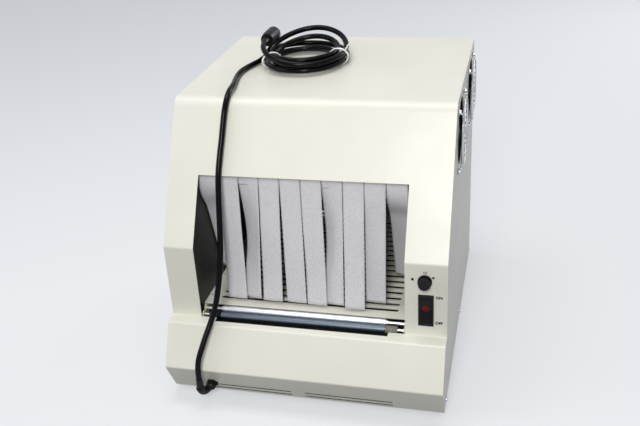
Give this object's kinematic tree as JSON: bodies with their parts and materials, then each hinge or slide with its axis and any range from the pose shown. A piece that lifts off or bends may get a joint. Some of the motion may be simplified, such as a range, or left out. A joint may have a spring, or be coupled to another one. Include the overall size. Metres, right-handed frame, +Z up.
{
  "type": "heat shrink tunnel",
  "caption": "Table-top heat shrink tunnel: sloped sheet-metal cabinet, strip curtain, slotted bed, entry rollers, side fans, temperature knob, rocker switch, coiled mains cord.",
  "frame": {"origin": "below the middle of the cabinet, on the surface that the feet stand on", "axes": "+Z up, +Y from the entry mouth towards the exit, +X to the operator's right"},
  "size_m": [0.4898, 0.5938, 0.5443],
  "materials": {
    "cream_paint": "smooth semi-gloss powder coat",
    "liner_metal": "heat-stained dark sheet",
    "bright_steel": "zinc plated",
    "polished_steel": "polished tube",
    "satin_roller": "satin grey",
    "black_steel": "black paint",
    "mineral_wool": "bonded wool slab",
    "heater_sheath": "oxidised sheath",
    "aluminium_plate": "mill finish",
    "curtain_cloth": "coated glass cloth, silver grey",
    "tan_plastic": "moulded bearing plastic",
    "bracket_paint": "cream paint",
    "black_plastic": "moulded, satin",
    "black_gloss": "moulded, gloss",
    "red_lens": "lit neon lens",
    "white_plastic": "moulded",
    "rubber_foot": "moulded rubber",
    "cord_jacket": "vinyl jacket, semi-gloss",
    "tie_wire": "white coated wire"
  },
  "bodies": {
    "root": {"front_cover": "cream_paint", "left_panel": "cream_paint", "right_panel": "cream_paint", "rear_cover": "cream_paint", "base_pan": "cream_paint", "feet": "rubber_foot", "side_screws": "bright_steel", "rear_screws": "bright_steel", "liner_supports": "bright_steel", "tunnel_liner": "liner_metal", "insulation": "mineral_wool", "bed_rails": "bright_steel", "slotted_bed": "cream_paint", "heaters": "heater_sheath", "heater_brackets": "bright_steel", "air_baffle": "aluminium_plate", "blower_motor": "bright_steel", "front_curtain_rod": "bright_steel", "rear_curtain_rod": "bright_steel", "roller_brackets": "bracket_paint", "roller_cradle": "black_steel", "upper_shaft": "polished_steel", "lower_shaft": "polished_steel", "roller_end_blocks": "tan_plastic", "exit_brackets": "bracket_paint", "exit_shaft": "polished_steel", "front_fan_frame": "black_plastic", "rear_fan_frame": "black_plastic", "front_finger_guard": "bright_steel", "rear_finger_guard": "bright_steel", "fan_screws": "bright_steel", "thermostat": "white_plastic", "switch_housing": "black_plastic", "terminal_block": "white_plastic", "cord_gland": "black_plastic", "cord": "cord_jacket", "cord_coil": "cord_jacket", "cord_ties": "tie_wire", "plug": "black_plastic"},
    "rear_curtain": {"rear_strips": "curtain_cloth"},
    "upper_roller": {"upper_roller": "polished_steel"},
    "lower_roller": {"lower_roller": "satin_roller"},
    "exit_roller": {"exit_roller": "polished_steel"},
    "blower_wheel": {"blower_wheel": "aluminium_plate"},
    "front_fan_rotor": {"front_fan_rotor": "black_plastic"},
    "rear_fan_rotor": {"rear_fan_rotor": "black_plastic"},
    "knob": {"knob": "black_plastic", "knob_spindle": "bright_steel"},
    "rocker": {"rocker": "black_gloss", "switch_lens": "red_lens"},
    "front_strip_1": {"front_strip_1": "curtain_cloth"},
    "front_strip_2": {"front_strip_2": "curtain_cloth"},
    "front_strip_3": {"front_strip_3": "curtain_cloth"},
    "front_strip_4": {"front_strip_4": "curtain_cloth"},
    "front_strip_5": {"front_strip_5": "curtain_cloth"},
    "front_strip_6": {"front_strip_6": "curtain_cloth"},
    "front_strip_7": {"front_strip_7": "curtain_cloth"},
    "front_strip_8": {"front_strip_8": "curtain_cloth"},
    "front_strip_9": {"front_strip_9": "curtain_cloth"},
    "front_strip_10": {"front_strip_10": "curtain_cloth"}
  },
  "joints": [
    {"name": "front_strip_1_swing", "type": "hinge", "parent": "root", "child": "front_strip_1", "pos_m": [-0.17745, -0.147, 0.376], "axis": [1, 0, 0], "range_deg": [-10, 75]},
    {"name": "front_strip_2_swing", "type": "hinge", "parent": "root", "child": "front_strip_2", "pos_m": [-0.14135, -0.147, 0.376], "axis": [1, 0, 0], "range_deg": [-10, 75]},
    {"name": "front_strip_3_swing", "type": "hinge", "parent": "root", "child": "front_strip_3", "pos_m": [-0.10525, -0.147, 0.376], "axis": [1, 0, 0], "range_deg": [-60, 75]},
    {"name": "front_strip_4_swing", "type": "hinge", "parent": "root", "child": "front_strip_4", "pos_m": [-0.06915, -0.147, 0.376], "axis": [1, 0, 0], "range_deg": [-60, 75]},
    {"name": "front_strip_5_swing", "type": "hinge", "parent": "root", "child": "front_strip_5", "pos_m": [-0.03305, -0.147, 0.376], "axis": [1, 0, 0], "range_deg": [-60, 75]},
    {"name": "front_strip_6_swing", "type": "hinge", "parent": "root", "child": "front_strip_6", "pos_m": [0.00305, -0.147, 0.376], "axis": [1, 0, 0], "range_deg": [-60, 75]},
    {"name": "front_strip_7_swing", "type": "hinge", "parent": "root", "child": "front_strip_7", "pos_m": [0.03915, -0.147, 0.376], "axis": [1, 0, 0], "range_deg": [-60, 75]},
    {"name": "front_strip_8_swing", "type": "hinge", "parent": "root", "child": "front_strip_8", "pos_m": [0.07525, -0.147, 0.376], "axis": [1, 0, 0], "range_deg": [-60, 75]},
    {"name": "front_strip_9_swing", "type": "hinge", "parent": "root", "child": "front_strip_9", "pos_m": [0.11135, -0.147, 0.376], "axis": [1, 0, 0], "range_deg": [-60, 75]},
    {"name": "front_strip_10_swing", "type": "hinge", "parent": "root", "child": "front_strip_10", "pos_m": [0.14745, -0.147, 0.376], "axis": [1, 0, 0], "range_deg": [-60, 75]},
    {"name": "rear_curtain_swing", "type": "hinge", "parent": "root", "child": "rear_curtain", "pos_m": [-0.0111, 0.2615, 0.376], "axis": [1, 0, 0], "range_deg": [-60, 75]},
    {"name": "upper_roller_spin", "type": "hinge", "parent": "root", "child": "upper_roller", "pos_m": [-0.0111, -0.2047, 0.1422], "axis": [1, 0, 0], "continuous": true},
    {"name": "lower_roller_spin", "type": "hinge", "parent": "root", "child": "lower_roller", "pos_m": [-0.0111, -0.2175, 0.1378], "axis": [1, 0, 0], "continuous": true},
    {"name": "exit_roller_spin", "type": "hinge", "parent": "root", "child": "exit_roller", "pos_m": [-0.0111, 0.2705, 0.14], "axis": [1, 0, 0], "continuous": true},
    {"name": "blower_spin", "type": "hinge", "parent": "root", "child": "blower_wheel", "pos_m": [-0.0111, 0.075, 0.37], "axis": [0, 0, 1], "continuous": true},
    {"name": "front_fan_spin", "type": "hinge", "parent": "root", "child": "front_fan_rotor", "pos_m": [0.22, -0.0161, 0.416], "axis": [1, 0, 0], "continuous": true},
    {"name": "rear_fan_spin", "type": "hinge", "parent": "root", "child": "rear_fan_rotor", "pos_m": [0.22, 0.1933, 0.416], "axis": [1, 0, 0], "continuous": true},
    {"name": "knob_turn", "type": "hinge", "parent": "root", "child": "knob", "pos_m": [0.2005, -0.222, 0.24094], "axis": [0, -0.9994, 0.0337], "range_deg": [-150, 150]},
    {"name": "switch_rock", "type": "hinge", "parent": "root", "child": "rocker", "pos_m": [0.2023, -0.21782, 0.18677], "axis": [1, 0, 0], "range_deg": [0, 16]}
  ]
}
